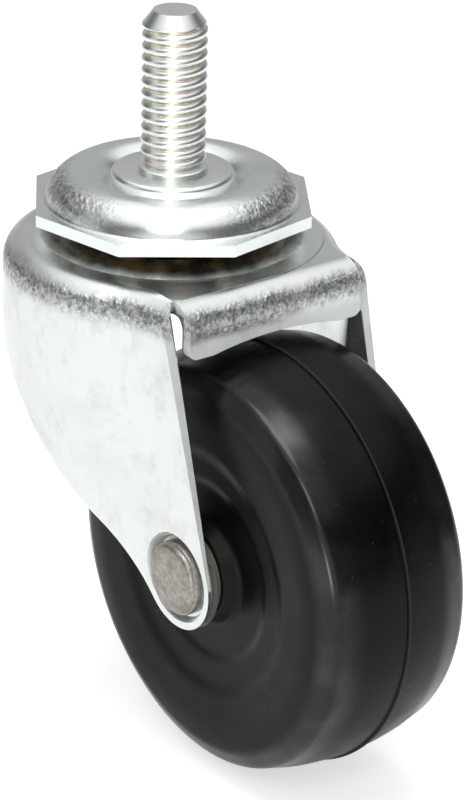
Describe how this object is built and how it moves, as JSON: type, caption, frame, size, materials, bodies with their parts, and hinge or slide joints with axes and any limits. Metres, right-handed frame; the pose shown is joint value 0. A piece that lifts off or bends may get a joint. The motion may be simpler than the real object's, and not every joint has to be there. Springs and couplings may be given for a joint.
{
  "type": "threaded stem castor",
  "caption": "Swivelling threaded stem castor with a drawn steel fork, open ball races and a solid rubber wheel.",
  "frame": {"origin": "on the swivel axis, at the top face of the stem's collar, which seats against the furniture", "axes": "+Z along the stem, away from the wheel; +X towards the wheel's trailing side; +Y along the wheel's axle"},
  "size_m": [0.0667, 0.0402, 0.0872],
  "materials": {
    "zinc_steel": "bright zinc plate",
    "race_steel": "pressed, greased",
    "ball_steel": "polished, greased",
    "plain_steel": "bare, headed",
    "black_rubber": "satin moulded"
  },
  "bodies": {
    "stem_and_races": {"threaded_stem": "zinc_steel", "top_plate": "zinc_steel", "lower_race_cup": "race_steel"},
    "upper_ball_row": {"upper_ball_01": "ball_steel", "upper_ball_02": "ball_steel", "upper_ball_03": "ball_steel", "upper_ball_04": "ball_steel", "upper_ball_05": "ball_steel", "upper_ball_06": "ball_steel", "upper_ball_07": "ball_steel", "upper_ball_08": "ball_steel", "upper_ball_09": "ball_steel", "upper_ball_10": "ball_steel", "upper_ball_11": "ball_steel", "upper_ball_12": "ball_steel"},
    "lower_ball_row": {"lower_ball_01": "ball_steel", "lower_ball_02": "ball_steel", "lower_ball_03": "ball_steel", "lower_ball_04": "ball_steel", "lower_ball_05": "ball_steel", "lower_ball_06": "ball_steel", "lower_ball_07": "ball_steel", "lower_ball_08": "ball_steel", "lower_ball_09": "ball_steel"},
    "fork": {"horn": "zinc_steel", "axle_rivet": "plain_steel", "axle_sleeve": "plain_steel"},
    "wheel": {"wheel": "black_rubber"}
  },
  "joints": [
    {"name": "swivel", "type": "hinge", "parent": "stem_and_races", "child": "fork", "pos_m": [0, 0, 0], "axis": [0, 0, 1], "continuous": true},
    {"name": "upper_row_roll", "type": "hinge", "parent": "stem_and_races", "child": "upper_ball_row", "pos_m": [0, 0, 0], "axis": [0, 0, 1], "continuous": true},
    {"name": "lower_row_roll", "type": "hinge", "parent": "stem_and_races", "child": "lower_ball_row", "pos_m": [0, 0, 0], "axis": [0, 0, 1], "continuous": true},
    {"name": "wheel_spin", "type": "hinge", "parent": "fork", "child": "wheel", "pos_m": [0.0205, 0, -0.0416], "axis": [0, 1, 0], "continuous": true}
  ],
  "couplings": [
    {"joint": "upper_row_roll", "follows": "swivel", "ratio": 0.5},
    {"joint": "lower_row_roll", "follows": "swivel", "ratio": 0.5}
  ]
}
